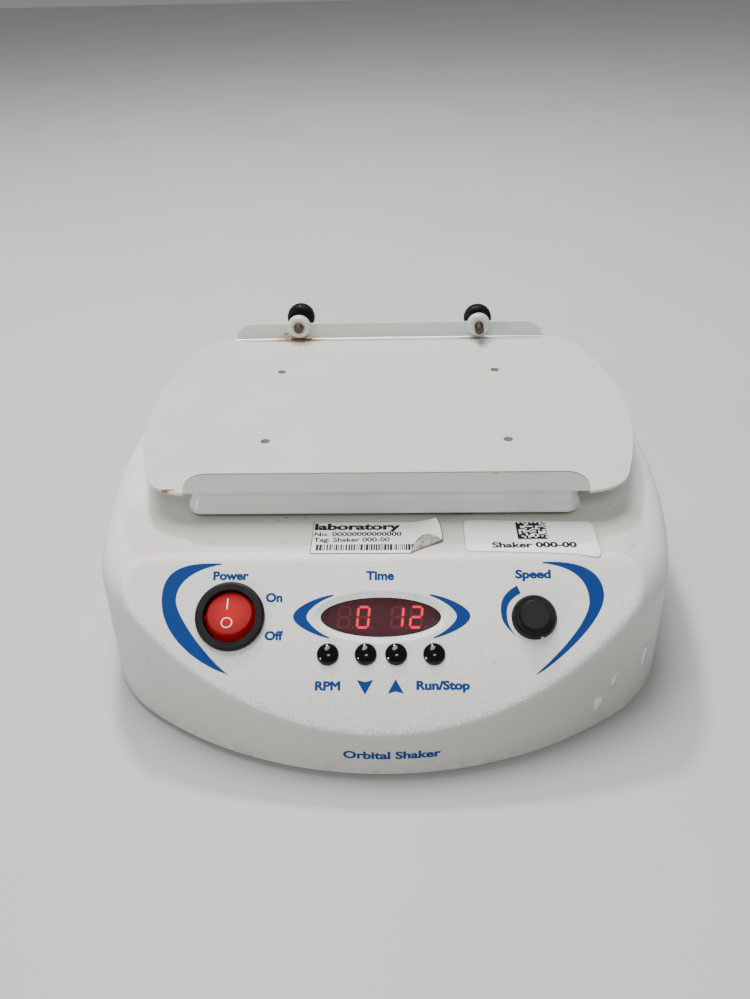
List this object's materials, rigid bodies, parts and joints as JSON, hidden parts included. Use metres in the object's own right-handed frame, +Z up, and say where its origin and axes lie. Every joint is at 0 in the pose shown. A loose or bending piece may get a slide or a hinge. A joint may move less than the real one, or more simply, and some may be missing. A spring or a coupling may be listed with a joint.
{
  "type": "orbital shaker",
  "caption": "Bench-top orbital shaker: rounded casing with a sloping control face, and a lipped sheet-metal tray on an eccentric drive that carries plates in a small circle.",
  "frame": {"origin": "middle of the footprint, on the surface the feet stand on", "axes": "+Z up, the control face looks towards -Y, +X to the operator's right"},
  "size_m": [0.265, 0.268, 0.1043],
  "materials": {
    "casing": "satin moulded casing, off white",
    "painted_sheet": "satin off-white powder coat",
    "plated_steel": "zinc plated",
    "rubber": "matt black",
    "machined_aluminium": "machined",
    "bearing_steel": "ground steel",
    "motor_case": "black coated can",
    "belt": "matt black belt",
    "brass": "turned brass",
    "circuit_board": "green glass-fibre laminate",
    "black_plastic": "fine matt black moulding",
    "button_plastic": "glossy black dome",
    "rocker_lens": "translucent red, lit",
    "window_red": "dark red filter window",
    "display_grey": "dark LED block",
    "component_mix": "capacitors and transformer",
    "terminal_metal": "tinned brass blades",
    "stud_steel": "worn threaded steel",
    "knob_black": "satin black phenolic"
  },
  "bodies": {
    "base": {"housing_shell": "casing", "base_plate": "plated_steel", "rubber_feet": "rubber", "base_screws": "plated_steel", "mechanism_deck": "machined_aluminium", "deck_pillars": "plated_steel", "deck_screws": "plated_steel", "bearing_block": "machined_aluminium", "block_screws": "plated_steel", "shaft_bearings": "bearing_steel", "idler_bearings": "bearing_steel", "motor_bracket": "plated_steel", "motor_standoffs": "plated_steel", "motor_screws": "plated_steel", "motor_body": "motor_case", "drive_belt": "belt", "display_window": "window_red", "display_module": "display_grey", "control_board": "circuit_board", "board_standoffs": "plated_steel", "tact_switches": "black_plastic", "switch_body": "black_plastic", "switch_terminals": "terminal_metal", "pot_body": "black_plastic", "power_board": "circuit_board", "power_standoffs": "plated_steel", "power_components": "component_mix", "mains_inlet": "black_plastic", "inlet_pins": "terminal_metal", "inlet_screws": "plated_steel"},
    "crank": {"main_shaft": "bearing_steel", "main_pulley": "machined_aluminium", "counterweight": "brass", "counterweight_screw": "plated_steel"},
    "motor_rotor": {"motor_shaft": "bearing_steel", "motor_pulley": "machined_aluminium"},
    "idler_1": {"idler_crank_1": "bearing_steel"},
    "idler_2": {"idler_crank_2": "bearing_steel"},
    "idler_3": {"idler_crank_3": "bearing_steel"},
    "idler_4": {"idler_crank_4": "bearing_steel"},
    "carriage": {"tray": "painted_sheet", "weld_bosses": "painted_sheet", "carriage_pan": "painted_sheet", "carriage_hub": "machined_aluminium", "carriage_bearing": "bearing_steel", "idler_cups": "machined_aluminium", "carriage_idler_bearings": "bearing_steel"},
    "clamp_screw_left": {"clamp_stud_left": "stud_steel"},
    "clamp_grip_left": {"clamp_knob_left": "knob_black"},
    "clamp_screw_right": {"clamp_stud_right": "stud_steel"},
    "clamp_grip_right": {"clamp_knob_right": "knob_black"},
    "rocker": {"rocker": "rocker_lens"},
    "button_rpm": {"button_rpm": "button_plastic"},
    "button_down": {"button_down": "button_plastic"},
    "button_up": {"button_up": "button_plastic"},
    "button_run": {"button_run": "button_plastic"},
    "speed_control": {"speed_knob": "knob_black", "pot_shaft": "bearing_steel"}
  },
  "joints": [
    {"name": "crank_spin", "type": "hinge", "parent": "base", "child": "crank", "pos_m": [0, 0.0275, 0.04], "axis": [0, 0, 1], "continuous": true},
    {"name": "carriage_pivot", "type": "hinge", "parent": "crank", "child": "carriage", "pos_m": [0.0015, 0.0275, 0.0785], "axis": [0, 0, 1], "continuous": true},
    {"name": "motor_spin", "type": "hinge", "parent": "base", "child": "motor_rotor", "pos_m": [0, 0.0795, 0.018], "axis": [0, 0, 1], "continuous": true},
    {"name": "idler_1_spin", "type": "hinge", "parent": "base", "child": "idler_1", "pos_m": [-0.066, -0.0285, 0.051], "axis": [0, 0, 1], "continuous": true},
    {"name": "idler_2_spin", "type": "hinge", "parent": "base", "child": "idler_2", "pos_m": [-0.066, 0.0835, 0.051], "axis": [0, 0, 1], "continuous": true},
    {"name": "idler_3_spin", "type": "hinge", "parent": "base", "child": "idler_3", "pos_m": [0.066, -0.0285, 0.051], "axis": [0, 0, 1], "continuous": true},
    {"name": "idler_4_spin", "type": "hinge", "parent": "base", "child": "idler_4", "pos_m": [0.066, 0.0835, 0.051], "axis": [0, 0, 1], "continuous": true},
    {"name": "power_rocker", "type": "hinge", "parent": "base", "child": "rocker", "pos_m": [-0.0615, -0.09682, 0.05401], "axis": [1, 0, 0], "range_deg": [0, 24]},
    {"name": "button_rpm_press", "type": "slide", "parent": "base", "child": "button_rpm", "axis": [0, 0.6428, -0.766], "range_m": [0, 0.0008], "stiffness_N_per_m": 1200},
    {"name": "button_down_press", "type": "slide", "parent": "base", "child": "button_down", "axis": [0, 0.6428, -0.766], "range_m": [0, 0.0008], "stiffness_N_per_m": 1200},
    {"name": "button_up_press", "type": "slide", "parent": "base", "child": "button_up", "axis": [0, 0.6428, -0.766], "range_m": [0, 0.0008], "stiffness_N_per_m": 1200},
    {"name": "button_run_press", "type": "slide", "parent": "base", "child": "button_run", "axis": [0, 0.6428, -0.766], "range_m": [0, 0.0008], "stiffness_N_per_m": 1200},
    {"name": "speed_turn", "type": "hinge", "parent": "base", "child": "speed_control", "pos_m": [0.0615, -0.09865, 0.05509], "axis": [0, -0.6428, 0.766], "range_deg": [0, 300]},
    {"name": "clamp_left_travel", "type": "slide", "parent": "carriage", "child": "clamp_screw_left", "axis": [0, -1, 0], "range_m": [-0.0025, 0.0065]},
    {"name": "clamp_left_turn", "type": "hinge", "parent": "clamp_screw_left", "child": "clamp_grip_left", "pos_m": [-0.0488, 0.1188, 0.0965], "axis": [0, -1, 0], "range_deg": [-1126, 2926]},
    {"name": "clamp_right_travel", "type": "slide", "parent": "carriage", "child": "clamp_screw_right", "axis": [0, -1, 0], "range_m": [-0.007, 0.002]},
    {"name": "clamp_right_turn", "type": "hinge", "parent": "clamp_screw_right", "child": "clamp_grip_right", "pos_m": [0.0518, 0.1188, 0.0965], "axis": [0, -1, 0], "range_deg": [-3151, 901]}
  ],
  "couplings": [
    {"joint": "carriage_pivot", "follows": "crank_spin", "ratio": -1},
    {"joint": "motor_spin", "follows": "crank_spin", "ratio": 3.25},
    {"joint": "idler_1_spin", "follows": "crank_spin", "ratio": 1},
    {"joint": "idler_2_spin", "follows": "crank_spin", "ratio": 1},
    {"joint": "idler_3_spin", "follows": "crank_spin", "ratio": 1},
    {"joint": "idler_4_spin", "follows": "crank_spin", "ratio": 1},
    {"joint": "clamp_left_turn", "follows": "clamp_left_travel", "rad_per_m": 7854},
    {"joint": "clamp_right_turn", "follows": "clamp_right_travel", "rad_per_m": 7854}
  ]
}
